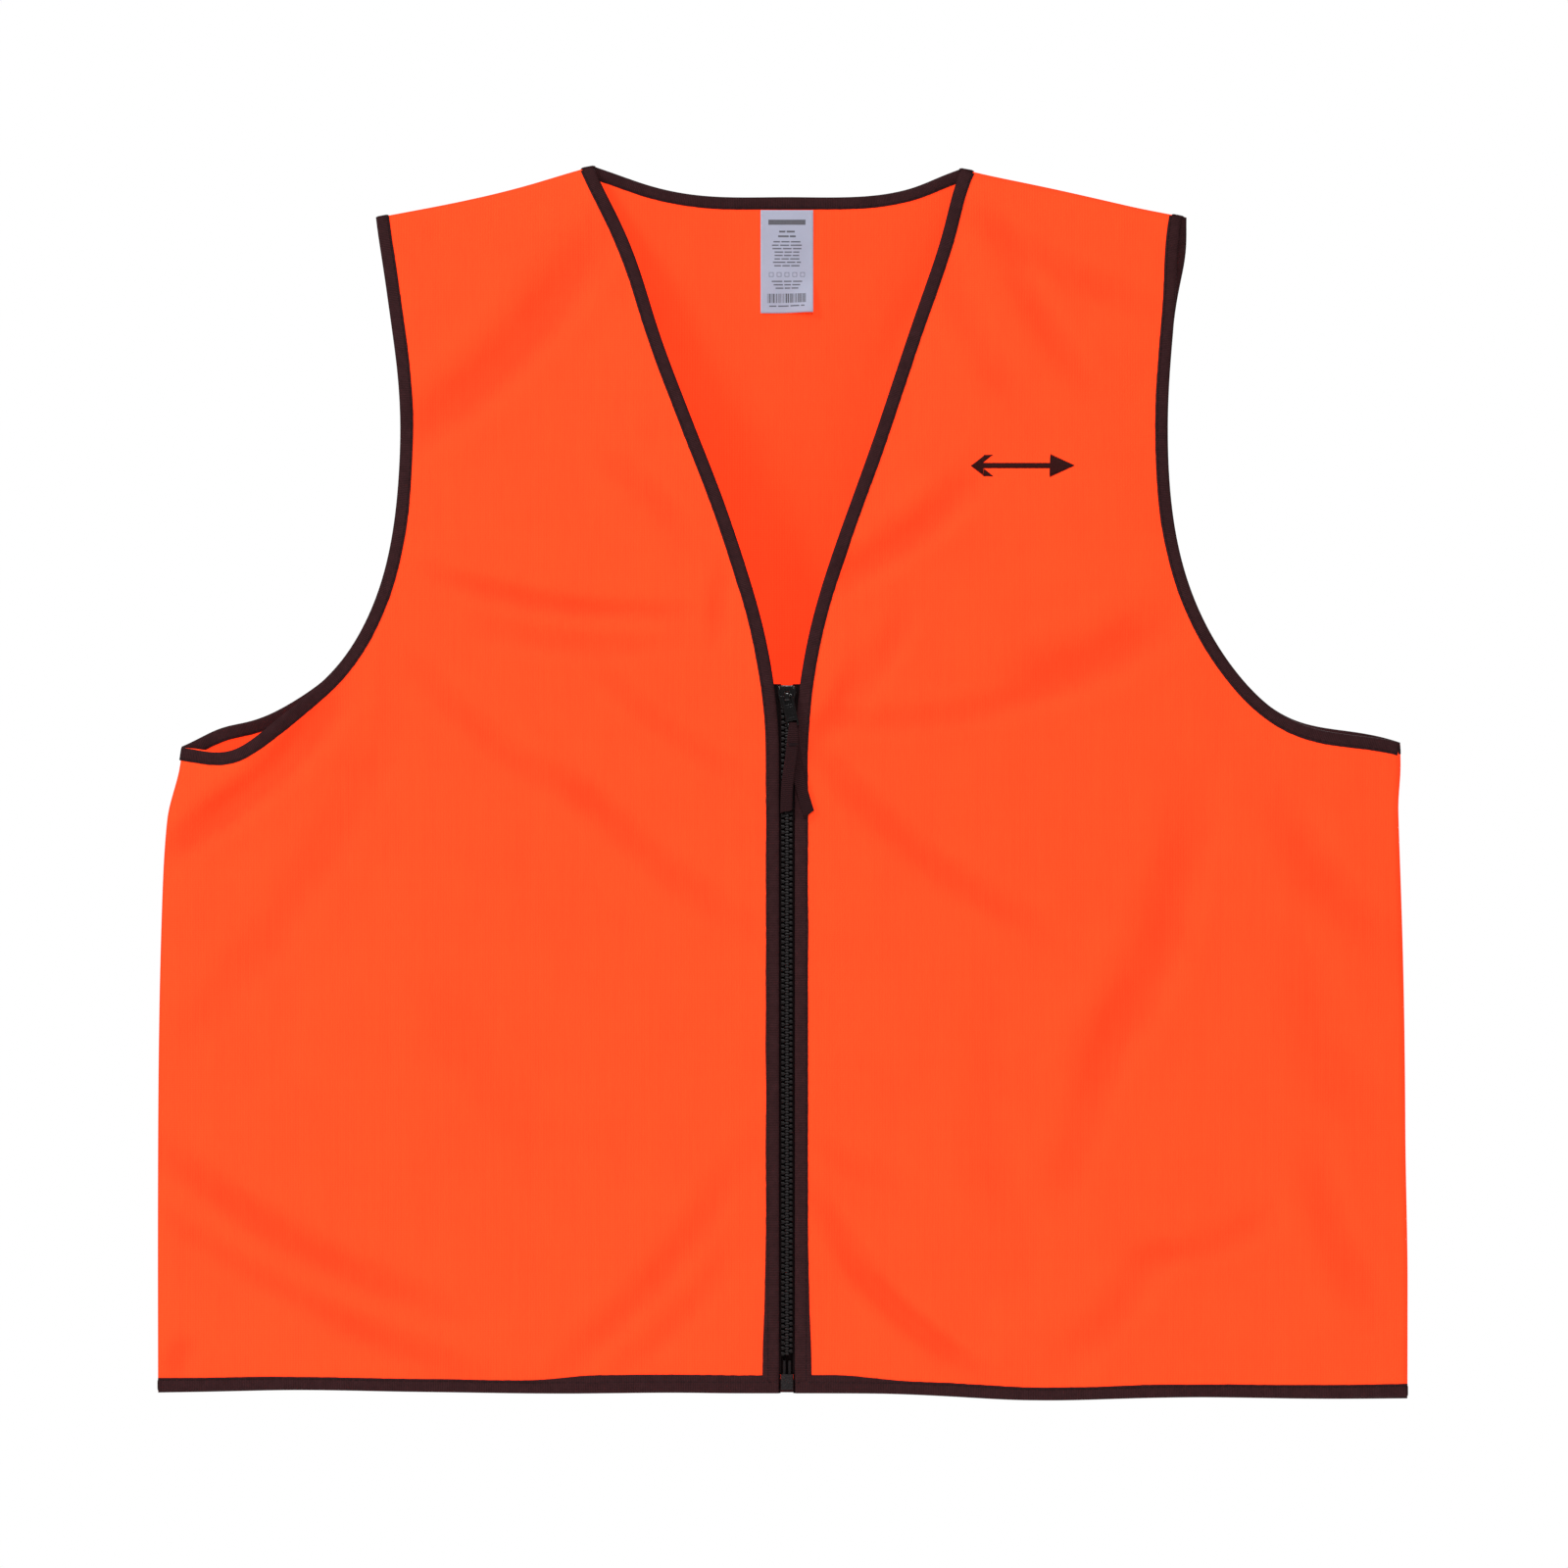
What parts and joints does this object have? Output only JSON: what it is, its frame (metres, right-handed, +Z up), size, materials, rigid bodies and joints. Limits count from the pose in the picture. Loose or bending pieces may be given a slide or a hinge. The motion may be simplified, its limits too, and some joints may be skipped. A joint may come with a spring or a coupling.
{
  "type": "zip-front safety vest",
  "caption": "Sleeveless bright orange knit vest with a V neck, dark folded bindings on every edge, a separable moulded front zip with a ribbon pull, and a care label at the back of the neck.",
  "frame": {"origin": "the hanging point, midway between the two neck points at the top of the shoulders", "axes": "+X to the wearer's left, +Y from the front to the back, +Z up; the front faces -Y"},
  "size_m": [0.636, 0.0461, 0.626],
  "materials": {
    "orange_knit": "fluorescent orange polyester tricot knit, matt, with fine vertical ribs",
    "binding_tape": "dark brown-black folded binding tape with fine crosswise ribs",
    "zip_tape": "black woven zip tape",
    "moulded_teeth": "black moulded acetal, semi-gloss",
    "slider_metal": "black enamelled die-cast slider and tab, glossy",
    "end_film": "clear film fused on the black tape",
    "ribbon": "brown-black grosgrain ribbon",
    "thread": "dark sewing thread",
    "label_cloth": null,
    "stabiliser": "white tear-away stabiliser"
  },
  "bodies": {
    "garment": {"back_panel": "orange_knit", "front_panel_left": "orange_knit", "front_panel_right": "orange_knit", "neck_binding": "binding_tape", "armhole_binding_left": "binding_tape", "armhole_binding_right": "binding_tape", "hem_binding": "binding_tape", "shoulder_seam_left": "orange_knit", "shoulder_seam_right": "orange_knit", "side_seam_left": "orange_knit", "side_seam_right": "orange_knit", "retainer_box": "moulded_teeth", "retainer_pin": "moulded_teeth", "insertion_pin": "moulded_teeth", "chest_embroidery": "thread", "embroidery_backing": "stabiliser"},
    "zip_half_left": {"front_binding_left": "binding_tape", "zip_tape_left": "zip_tape", "zip_teeth_left": "moulded_teeth", "top_stop_left": "moulded_teeth", "tape_film_left": "end_film"},
    "zip_half_right": {"front_binding_right": "binding_tape", "zip_tape_right": "zip_tape", "zip_teeth_right": "moulded_teeth", "top_stop_right": "moulded_teeth", "tape_film_right": "end_film"},
    "slider": {"slider_body": "slider_metal"},
    "tab": {"pull_tab": "slider_metal"},
    "ribbon": {"pull_ribbon": "ribbon", "ribbon_bartack": "thread"},
    "label": {"care_label": "label_cloth"}
  },
  "joints": [
    {"name": "zip_slide", "type": "slide", "parent": "garment", "child": "slider", "axis": [0, 0, -1], "range_m": [0, 0.339]},
    {"name": "zip_open_left", "type": "hinge", "parent": "garment", "child": "zip_half_left", "pos_m": [0, -0.023, -0.626], "axis": [0, 1, 0], "range_deg": [0, 5], "deforming": ["front_panel_left", "neck_binding", "hem_binding", "zip_teeth_left", "zip_tape_left", "front_binding_left"]},
    {"name": "zip_open_right", "type": "hinge", "parent": "garment", "child": "zip_half_right", "pos_m": [0, -0.023, -0.626], "axis": [0, -1, 0], "range_deg": [0, 5], "deforming": ["front_panel_right", "neck_binding", "hem_binding", "zip_teeth_right", "zip_tape_right", "front_binding_right"]},
    {"name": "tab_swing", "type": "hinge", "parent": "slider", "child": "tab", "pos_m": [0, -0.02635, -0.2708], "axis": [-0.9781, 0, -0.2079], "range_deg": [0, 165]},
    {"name": "ribbon_swing", "type": "hinge", "parent": "tab", "child": "ribbon", "pos_m": [0.00312, -0.02635, -0.28547], "axis": [-1, 0, 0], "range_deg": [0, 90]},
    {"name": "label_lift", "type": "hinge", "parent": "garment", "child": "label", "pos_m": [0, 0.0025, -0.0219], "axis": [-1, 0, 0], "range_deg": [0, 150]}
  ],
  "couplings": [
    {"joint": "zip_open_left", "follows": "zip_slide", "rad_per_m": 0.257},
    {"joint": "zip_open_right", "follows": "zip_slide", "rad_per_m": 0.257}
  ]
}
